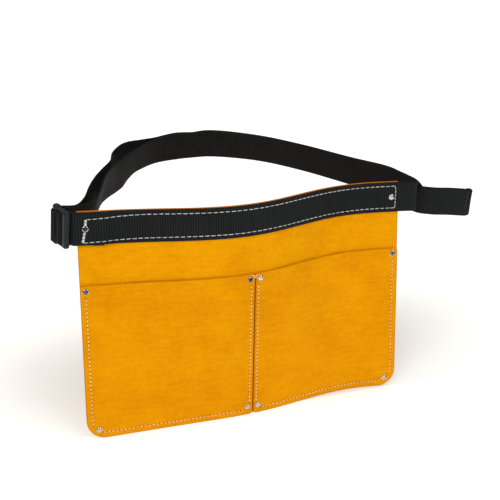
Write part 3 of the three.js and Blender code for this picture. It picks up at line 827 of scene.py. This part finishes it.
rightEnd = onSheet(apron["width"], waistband["middle"], waistband["underOffset"])
turnCentre = (rightEnd[0] + webbing["endRun"], rightEnd[1] - webbing["endForward"] + webbing["endRadius"])
underPlaces = np.linspace(waistband["underlap"], 0.5, 8)
loopParts = join(
    bandStations(underPlaces, waistband["underOffset"], 1.1 * ease(underPlaces / 20)),
    pastEdge(waistband["underOffset"], 2.4),
    neck(loopHeading - 90),
    arcStations(sliderCentre, webbing["loopRadius"], loopHeading - webbing["loopWrap"],
                loopHeading + webbing["loopWrap"], 14, sliderUp),
    neck(loopHeading + 90),
    pastEdge(waistband["overOffset"], 1.6),
    bandStations([0.5, 3], waistband["overOffset"]),
)
bandPlaces = np.linspace(5.5, apron["width"] - 1, 150)
bandPart = bandStations(bandPlaces, steppedOffset(bandPlaces))
turnPart = arcStations(turnCentre, webbing["endRadius"], -100, 6, 10)
turnPart[0][:, 2] -= webbing["endDrop"] * ease(np.linspace(0.3, 1, 11))
sewn = smoothStations(join(loopParts, bandPart, turnPart), 5)
sewnEnd = sewn[0][-1]
waistStrap, waistLength = strap("waistband_strap", sewn)


def fromSlider(along):
    return sliderCentre + along * levelHeading(webbing["sliderHeading"])


farBar = fromSlider(webbing["barPitch"])
heading = webbing["turnHeading"]
leaving = levelHeading(heading)
turnPlaces, turnUps = arcStations(farBar, webbing["turnRadius"], heading - 90, heading - 270, 16, sliderUp)
innerLeg, outerLeg = (turnPlaces[k] + leaving * webbing["turnLeg"] for k in (0, -1))

# x, y, middle height and lean: most of these rows came from a fit made outside this script
innerRoute = [
    [*innerLeg], [-121.5, 50, 165.2, 6], [-112, 58, 166.6, 15], [-105.5, 75, 169.8, 15],
    [-98.5, 96, 172.4, 13],
    [-91.5, 112, 172.6, 7], [-83.5, 130, 170.8, 2], [-76, 144, 170.4, 0], [-68.5, 156, 172.6, 6],
    [-58, 169, 174.8, 13], [-35.5, 189, 176.6, 10], [-14, 197.3, 177.2, -3], [3, 199.6, 176.6, 5],
    [18, 197.6, 177.4, -2], [57.5, 176.5, 176.2, 2],
    [88, 133, 176.4, 1], [118, 88, 173.4, 2], [139.5, 61, 170.2], [150, 45.5, 168.2],
    [sewnEnd[0], sewnEnd[1] + apron["gap"], sewnEnd[2]],
]
outerRoute = [
    [*outerLeg], [-126, 54.5, 163.8, 3], [-118, 68, 164.6, 5], [-111.5, 86, 168.2, 6], [-104.5, 104, 170, 6],
    [-96, 122, 171.2, 6], [-86, 143, 172.4, 8], [-81.5, 162, 174.2, 10], [-67.5, 180, 177.2, 8],
    [-48.5, 191, 176.2, 6], [-35, 194.5, 176.4, 5], [-14.5, 200, 178.0, 4], [3, 202.4, 176.9, 3],
    [20, 200.4, 178.0],
    [60, 179, 175.8], [90, 134.5, 175.6, 1], [120.5, 89, 172.8], [144.5, 64.5, 169.4], [152.5, 52, 166.5, 3],
    [157.8, 45, 164, 4], [161.6, 40.4, 158.6, 3], [172, 33.5, 157.4, 3], [187.5, 28.5, 157, 3],
    [204, 25, 155.4, 5],
]
tailSwing = np.array([157.95, 40.5, 159.9])  # the tail bends about here
innerStations = route(innerRoute)
outerPlaces, outerUps = route(outerRoute)
splitAt = int(np.argmin(np.linalg.norm(outerPlaces - tailSwing, axis=1))) - 14
wholeTurn = join(
    (innerStations[0][::-1][:-1], innerStations[1][::-1][:-1]),
    (turnPlaces, turnUps),
    (outerPlaces[1:splitAt + 1], outerUps[1:splitAt + 1]),
)
rearStrap, rearLength = strap("rear_belt_strap", wholeTurn, waistLength)

tip, tipUp = outerPlaces[-1], outerUps[-1]
tipAhead = unit(outerPlaces[-1] - outerPlaces[-2])
tipSide = -unit(np.cross(tipAhead, tipUp))  # points to the rear
foldAngles = np.radians(np.linspace(0, 180, 13))[1:]
fold = webbing["foldRadius"]
foldPlaces = (tip + tipSide * fold + np.sin(foldAngles)[:, None] * tipAhead * fold
              - np.cos(foldAngles)[:, None] * tipSide * fold)
backPlaces = foldPlaces[-1] - np.linspace(0.5, webbing["hem"], 8)[:, None] * tipAhead
foldedUps = np.tile(tipUp, (len(foldPlaces) + len(backPlaces), 1))
tailStations = join(
    (outerPlaces[splitAt:], outerUps[splitAt:]),
    (np.concatenate([foldPlaces, backPlaces]), foldedUps),
)
foldAt = stationLengths(tailStations[0])[-1] - webbing["hem"] - fold * 1.5
tailStrap, tailLength = strap("tail_strap", tailStations, waistLength + rearLength, foldAt)
print("webbing made:", round(waistLength + rearLength + tailLength), "mm in all")


def stitchMesh(name, stitches, material, width, height):
    sides, rings, dive = 10, 13, 0.55
    angles = np.arange(sides) * 2 * np.pi / sides
    points, faces = [], []
    for number, (start, end, outward) in enumerate(stitches):
        ahead = unit(end - start)
        across = unit(np.cross(ahead, outward))
        begin = number * sides * rings
        t = np.linspace(0, 1, rings)
        swell = np.sqrt(np.clip(1 - (2 * t - 1) ** 4, 0, 1)) * 0.75 + 0.25
        lift = height * (0.5 * np.clip(1 - (2 * t - 1) ** 2, 0, 1) ** 0.5) - dive * np.abs(2 * t - 1) ** 6
        sway = 0.05 * math.sin(number * 2.4)
        centres = mix(start, end, t[:, None]) + outward * lift[:, None] + across * sway
        twist = 2 * (angles[None, :] - t[:, None] * 5.2)
        strand = 1 + 0.13 * np.cos(twist)
        radius = swell[:, None] * strand
        ring = (centres[:, None, :]
                + across * (np.cos(angles)[None, :, None] * radius[..., None] * width / 2)
                + outward * (np.sin(angles)[None, :, None] * radius[..., None] * height / 2))
        points.append(ring.reshape(-1, 3))
        for i in range(rings - 1):
            for j in range(sides):
                a, b = begin + i * sides + j, begin + i * sides + (j + 1) % sides
                faces.append([a, b, b + sides, a + sides])
        faces.append([begin + j for j in range(sides)][::-1])
        faces.append([begin + (rings - 1) * sides + j for j in range(sides)])
    piece = addPiece(name, np.concatenate(points), faces, [material])
    turnOutward(piece.data)
    return piece


def sewOn(name, pairs, offsetAt, material, width, height, length, front=1):
    stitches = []
    for a, b in pairs:
        short = max(0.0, 1 - length / max(np.linalg.norm(b - a), 1e-6)) / 2
        a, b = mix(a, b, short), mix(b, a, short)
        ends = [onSheet(p[0], p[1], offsetAt(p[0], p[1])) for p in (a, b)]
        outward = directions(*((a + b) / 2))[2] * front
        stitches.append((ends[0], ends[1], outward))
    return stitchMesh(name, stitches, material, width, height)


stitching = {}
for side, (left, right) in pocketEdges.items():
    innerAt = pocketInner(left, right)
    skin = apron["thickness"] - seams["groove"]
    faceAt = lambda s, z, innerAt=innerAt: innerAt(np.array(s), np.array(z)) + skin
    options = [tanThread, seams["threadWidth"], seams["threadHeight"], seams["stitch"]]
    stitching[f"{side}_pocket_seam_thread"] = sewOn(
        f"{side}_pocket_stitches", pocketStitches[side], faceAt, *options)
    stitching[f"{side}_pocket_seam_bobbin_thread"] = sewOn(
        f"{side}_pocket_bobbin_stitches", pocketStitches[side], lambda s, z: 0.0, *options, front=-1)

bandFace = lambda s, z: steppedOffset(s) + waistband["thickness"] / 2
rows = bandSeam["top"] + bandSeam["bottom"]
stitching["waistband_seam_thread"] = sewOn(
    "waistband_stitches", rows + bandSeam["right"], bandFace, whiteThread,
    *waistband["needle"], waistband["stitch"])
stitching["waistband_seam_bobbin_thread"] = sewOn(
    "waistband_bobbin_stitches", rows + bandSeam["right"] + bandSeam["left"], lambda s, z: 0.0,
    whiteThread, *waistband["bobbin"], waistband["stitch"], front=-1)
doubled = []
for shift in (-0.42, 0.42):
    doubled += [(a + (shift, 0), b + (shift * 0.6, 0)) for a, b in bandSeam["left"]]
barTack = sewOn("waistband_bar_tack", doubled, bandFace, whiteThread,
                *waistband["tack"], waistband["tackStitch"])

hemStitches = []
hemBack = fold * 2 + waistband["thickness"] / 2
for i in range(6):
    low, high = (mix(-10.6, 10.6, (i + k) / 6) for k in (0.12, 0.88))
    base = tip - tipAhead * (webbing["hem"] * 0.62) + tipSide * hemBack
    hemStitches.append((base + tipUp * low, base + tipUp * high, tipSide))
    rear = tip - tipAhead * (webbing["hem"] * 0.62) - tipSide * waistband["thickness"] / 2
    hemStitches.append((rear + tipUp * low, rear + tipUp * high, -tipSide))
stitching["tail_hem_thread"] = stitchMesh("tail_hem_stitches", hemStitches, blackThread, 0.5, 0.4)
print("stitches made")


def looseThread(name, points, material, radius):
    table = np.array(points, float)
    places = centripetal(onSheet(table[:, 0], table[:, 1], table[:, 2]), 8)
    tangents = unit(np.gradient(places, axis=0))
    sides = unit(np.cross(tangents, [0.1, -1, 0.2]))
    over = np.cross(tangents, sides)
    angles = np.arange(8) * np.pi / 4
    taper = np.linspace(1, 0.6, len(places))
    outward = (np.cos(angles)[None, :, None] * sides[:, None, :]
               + np.sin(angles)[None, :, None] * over[:, None, :])
    rings = places[:, None, :] + radius * taper[:, None, None] * outward
    faces = []
    for low in range(0, 8 * (len(places) - 1), 8):
        faces += [[low + j, low + (j + 1) % 8, low + 8 + (j + 1) % 8, low + 8 + j] for j in range(8)]
    faces += [list(range(8))[::-1], [(len(places) - 1) * 8 + j for j in range(8)]]
    piece = addPiece(name, rings.reshape(-1, 3), faces, [material])
    turnOutward(piece.data)
    return piece


# thread ends left by the sewing: thickness, then places along and up the apron and height off it
threadEnds = {
    "thread_end_right": (0.33, [(265.4, 121.3, 4.4), (266.2, 123.4, 4.3), (266.9, 125.5, 3),
                                (266.6, 128.2, 2.5)]),
    "thread_knot_centre": (0.42, [(131.9, 122.2, 4.3), (133.8, 121.5, 4.5), (135.2, 121.9, 4.6),
                                  (136.9, 121.3, 4.5), (137.9, 122.4, 4.3)]),
    "thread_knot_centre_low": (0.38, [(133.2, 119.4, 4.3), (134.6, 120.4, 4.5), (135.6, 120.1, 4.6),
                                      (136.6, 119.2, 4.3)]),
}
looseEnds = [looseThread(name, points, tanThread, radius) for name, (radius, points) in threadEnds.items()]


rivetShape = {
    "segments": 40, "postRadius": 1.2, "domeRadius": 1.9,
    # how dark the painted dark reflection on the dome of each cap is, where it has one
    "dark_reflection": {"left_pocket_top_outer": 0.75, "left_pocket_top_inner": 0.9, "right_pocket_top_outer": 0.7,
                "waistband_left": 0.95},
    # radius and height: a domed cap with a rolled rim, seen from its middle outwards
    "cap": [(0, 1.2), (0.5, 1.17), (0.9, 1.09), (1.27, 0.94), (1.58, 0.73), (1.82, 0.5), (1.98, 0.33),
            (2.15, 0.31), (2.3, 0.22), (2.36, 0.06), (2.3, -0.06), (2.15, -0.12), (1.2, -0.12)],
    "back": [(0, 0.5), (0.55, 0.5), (0.8, 0.62), (1.0, 0.9), (1.25, 1.0), (1.6, 0.92), (2.1, 0.8),
             (2.45, 0.6), (2.62, 0.3), (2.6, 0.08), (2.45, 0), (1.45, 0), (1.45, 0.3), (0, 0.3)],
}


def lathe(name, profile, centre, axis, along):
    sides = rivetShape["segments"]
    across = np.cross(axis, along)
    angles = np.arange(sides) * 2 * np.pi / sides
    around = np.cos(angles)[:, None] * along + np.sin(angles)[:, None] * across
    points, faces, rings = [], [], []
    for radius, height in profile:
        start = sum(len(p) for p in points)
        if radius == 0:
            points.append((centre + axis * height)[None])
            rings.append([start] * sides)
        else:
            points.append(centre + around * radius + axis * height)
            rings.append(list(range(start, start + sides)))
    for low, high in zip(rings[:-1], rings[1:]):
        for j in range(sides):
            face = [low[j], low[(j + 1) % sides], high[(j + 1) % sides], high[j]]
            face = [v for k, v in enumerate(face) if v not in face[:k]]
            faces.append(face)
    piece = addPiece(name, np.concatenate(points), faces, [nickel])
    turnOutward(piece.data)
    piece.data.set_sharp_from_angle(angle=math.radians(50))
    markEdges(piece, 2.5)
    return piece


rivetPieces = {}
for name, (s, z) in rivets.items():
    along, _, front = directions(s, z)
    over = 2 * apron["thickness"] + apron["gap"] - 0.1
    if name.startswith("waistband"):
        over = float(steppedOffset(s)) + waistband["thickness"] / 2
    seat = onSheet(s, z, over + 0.16)
    post = -over - 0.4
    cap = rivetShape["cap"] + [(rivetShape["postRadius"], post), (0, post)]
    headPiece = lathe(f"{name}_rivet_cap", cap, seat, front, along)
    rivetPieces["rivet_head_" + name] = headPiece
    # the dome's darkness is a painted dark reflection
    dark = rivetShape["dark_reflection"].get(name, 0.0)  # on the dome only: the rim is rubbed bright
    rings = [np.full(rivetShape["segments"] if radius else 1,
                     dark if radius < rivetShape["domeRadius"] else 0) for radius, _ in cap]
    setAttribute(headPiece, "dark_reflection", np.concatenate(rings))
    seat = onSheet(s, z, -0.12)
    rivetPieces["rivet_back_" + name] = lathe(f"{name}_rivet_back", rivetShape["back"], seat, -front, along)
print("rivets made")


slider = {
    "length": 21.5, "height": 28.6, "railDepth": 3.9, "barDepth": 5.0, "outerBar": 5.2, "centreBar": 2.4,
    "centreDepth": 2.6, "rail": 2.2, "knobRadius": 3.2, "knobRise": 1.5, "lift": 0.4,
    "voxel": 0.24, "softening": 9,
}


def addRoundedBox(mesh, centre, size, radius):
    part = bmesh.new()
    bmesh.ops.create_cube(part, size=1)
    bmesh.ops.scale(part, vec=Vector(size), verts=part.verts)
    bmesh.ops.bevel(part, geom=part.edges[:], offset=radius, segments=5, profile=0.5, affect="EDGES")
    bmesh.ops.translate(part, vec=Vector(centre), verts=part.verts)
    temporary = bpy.data.meshes.new("part")
    part.to_mesh(temporary)
    part.free()
    mesh.from_mesh(temporary)
    bpy.data.meshes.remove(temporary)


def makeSlider():
    body = bmesh.new()
    half, tall = slider["length"] / 2, slider["height"] / 2
    outer, deep = slider["outerBar"], slider["barDepth"]
    for x, width, depth, reach in ((-half + outer / 2, outer, deep, tall),
                                   (0, slider["centreBar"], slider["centreDepth"], tall - 1),
                                   (half - outer / 2, outer, deep, tall)):
        addRoundedBox(body, (x, 0, 0), (width, depth, 2 * reach), min(width, depth) * 0.42)
    for end in (-1, 1):
        z = end * (tall - slider["rail"] / 2)
        size = (slider["length"] - 2.4, slider["railDepth"], slider["rail"])
        addRoundedBox(body, (0, 0, z), size, slider["rail"] * 0.49)
        knob = slider["knobRadius"] * 2
        height = slider["rail"] + 2 * slider["knobRise"]
        addRoundedBox(body, (half - slider["knobRadius"] + 0.4, 0, z), (knob, knob * 0.86, height), 2.1)
    turn = Matrix.Rotation(math.radians(webbing["sliderHeading"]), 4, "Z")
    tilt = Matrix.Rotation(math.radians(webbing["sliderTilt"]), 4, "Y")
    body.transform(Matrix.Translation(Vector(sliderCentre + [0, 0, slider["lift"]])) @ tilt @ turn)
    mesh = bpy.data.meshes.new("three_bar_slider")
    body.to_mesh(mesh)
    body.free()
    mesh.transform(Matrix.Translation(Vector(origin)) @ Matrix.Diagonal((mm, mm, mm, 1)))
    mesh.materials.append(sliderPlastic)
    piece = putInScene("three_bar_slider", mesh)
    remesh = piece.modifiers.new("mould", "REMESH")
    remesh.mode, remesh.voxel_size, remesh.use_smooth_shade = "VOXEL", slider["voxel"] * mm, True
    soften = piece.modifiers.new("soften", "SMOOTH")
    soften.factor, soften.iterations = 0.5, slider["softening"]
    applyModifiers(piece)
    if not piece.data.materials:
        piece.data.materials.append(sliderPlastic)
    markEdges(piece, 6)
    return piece


sliderPiece = makeSlider()
print("slider made:", len(sliderPiece.data.vertices), "points")


for piece, nodes, slot in [
    (backPanel, ["apron_back_panel"], "panel_suede"),
    (pockets["left"], ["left_pocket_front"], "pocket_suede"),
    (pockets["right"], ["right_pocket_front"], "pocket_suede"),
    (waistStrap, ["waistband_webbing"], "webbing"),
]:
    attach(piece, "apron")
    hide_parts(*nodes)

for node, piece in stitching.items():
    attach(piece, "tail" if node.startswith("tail") else "apron")
    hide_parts(node)
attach(barTack, "apron")
for piece in looseEnds:
    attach(piece, "apron")
for node, piece in rivetPieces.items():
    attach(piece, "apron")
    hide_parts(node)

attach(sliderPiece, "slider")
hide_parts("slider_buckle")

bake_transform(rearStrap)
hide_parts("rear_belt_inner_layer", "strap_turn", "rear_belt_outer_layer")
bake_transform(tailStrap)
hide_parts("strap_tail")

studio = {
    "floorSize": 14.0, "floorDrop": 0.00015, "floorColor": (0.84, 0.835, 0.825),
    # the floor's own light, painted light and a painted shadow: dim under the apron, brighter just round it,
    # brightest far off, by distances in metres
    "glow": [(0.06, (0.06, 0.055, 0.035)), (0.15, (0.41, 0.40, 0.36)), (1.5, (0.60, 0.59, 0.58))],
    "glowMiddle": (0.0, -0.01), "glowStretch": 0.5, "glowFront": (-0.094, -0.112), "frontReach": 0.9,
    "sky": 0.66, "skyLow": 0.5,            # soft light, overhead and at the horizon
    "mirrored": 0.5, "mirroredLow": 0.035,  # what polished metal sees of it
    "lights": {
        # place and size in metres, power in watts
        "key": {"place": (-1.1, -1.2, 1.25), "size": 0.8, "power": 9.4, "color": (1.0, 0.97, 0.94)},
        "fill": {"place": (0.75, -1.3, 1.2), "size": 0.9, "power": 7.4, "color": (0.98, 1.0, 1.0)},
        "rear": {"place": (-0.2, 1.2, 1.5), "size": 1.2, "power": 3.5, "color": (1.0, 1.0, 1.0)},
    },
}


def makeFloor():
    half = studio["floorSize"] / 2
    mesh = bpy.data.meshes.new("floor")
    corners = [(-half, -half, 0), (half, -half, 0), (half, half, 0), (-half, half, 0)]
    mesh.from_pydata(corners, [], [(0, 1, 2, 3)])
    material, nodes, links, shader = newMaterial("pale floor")
    place = objectPlace(nodes)
    tone = noise(nodes, links, place, 9, 3, 0.5)
    base = studio["floorColor"]
    dimmer = tuple(0.985 * c for c in base)
    links.new(ramp(nodes, links, tone, [(0.3, dimmer), (0.7, base)]), shader.inputs["Base Color"])
    shader.inputs["Roughness"].default_value = 0.85
    shader.inputs["Specular IOR Level"].default_value = 0.2
    middleX, middleY = studio["glowMiddle"]
    stretch = studio["glowStretch"]
    shift = addNode(nodes, "ShaderNodeMapping", {
        "Location": (-middleX * stretch, -middleY, 0), "Scale": (stretch, 1, 1)})
    links.new(place, shift.inputs["Vector"])
    length = addNode(nodes, "ShaderNodeVectorMath", operation="LENGTH")
    links.new(shift.outputs["Vector"], length.inputs[0])
    farthest = studio["glow"][-1][0]
    share = calculate(nodes, links, "DIVIDE", length.outputs["Value"], farthest)
    parts = addNode(nodes, "ShaderNodeSeparateXYZ")
    links.new(place, parts.inputs["Vector"])
    reach = studio["frontReach"] / farthest
    # painted light: in front of the apron the glow rises to full
    front = spread(nodes, links, parts.outputs["Y"], *studio["glowFront"], 0, reach)
    share = calculate(nodes, links, "MAXIMUM", share, front)
    # the glow is painted light, dimmed round the apron as a painted shadow
    glow = ramp(nodes, links, share, [(reach / farthest, color) for reach, color in studio["glow"]])
    links.new(glow, shader.inputs["Emission Color"])
    shader.inputs["Emission Strength"].default_value = 1.0
    mesh.materials.append(material)
    floor = putInScene("floor", mesh)
    floor.location = (0, 0, -studio["floorDrop"])


def makeSky():
    world = bpy.data.worlds.new("studio")
    bpy.context.scene.world = world
    world.use_nodes = True
    nodes, links = world.node_tree.nodes, world.node_tree.links
    background = nodes["Background"]
    direction = addNode(nodes, "ShaderNodeTexCoord").outputs["Generated"]
    parts = addNode(nodes, "ShaderNodeSeparateXYZ")
    links.new(direction, parts.inputs["Vector"])
    low, high = (studio["skyLow"],) * 3, (studio["sky"],) * 3
    soft = ramp(nodes, links, parts.outputs["Z"], [(0.0, low), (0.75, high)])
    low, high = (studio["mirroredLow"],) * 3, (studio["mirrored"],) * 3
    mirrored = ramp(nodes, links, parts.outputs["Z"], [(0.25, low), (0.85, high)])
    rays = addNode(nodes, "ShaderNodeLightPath").outputs
    shade = blendColors(nodes, links, rays["Is Glossy Ray"], soft, mirrored)
    shade = blendColors(nodes, links, rays["Is Camera Ray"], shade, (1.0, 1.0, 1.0))
    links.new(shade, background.inputs["Color"])
    background.inputs["Strength"].default_value = 1.0


def aim(piece, target):
    direction = Vector(target) - piece.location
    piece.rotation_euler = direction.to_track_quat("-Z", "Y").to_euler()


makeFloor()
makeSky()
for name, light in studio["lights"].items():
    data = bpy.data.lights.new(name, "AREA")
    data.size, data.energy, data.color = light["size"], light["power"], light["color"]
    lamp = putInScene(name, data)
    lamp.location = light["place"]
    aim(lamp, (0, 0, 0.08))

view = {"azimuth": -17.905, "elevation": 22.226, "distance": 612.56, "target": (-2.02, 0, 145.44),
        "roll": 0.429, "lens": 57.63, "sensor": 36}


def makeCamera():
    azimuth, elevation, roll = (math.radians(view[k]) for k in ("azimuth", "elevation", "roll"))
    back = np.array([math.sin(azimuth) * math.cos(elevation), -math.cos(azimuth) * math.cos(elevation),
                     math.sin(elevation)])
    level = levelHeading(view["azimuth"])
    up = np.cross(back, level)
    right = math.cos(roll) * level + math.sin(roll) * up
    up = np.cross(back, right)
    eye = inRow(np.array(view["target"]) + back * view["distance"])
    data = bpy.data.cameras.new("camera")
    data.lens, data.sensor_width, data.clip_end = view["lens"], view["sensor"], 60
    camera = putInScene("camera", data)
    rows = [[right[k], up[k], back[k], eye[k]] for k in range(3)] + [[0, 0, 0, 1]]
    camera.matrix_world = Matrix(rows)
    bpy.context.scene.camera = camera


makeCamera()
bpy.context.scene.view_settings.view_transform = "Standard"
print("studio made")
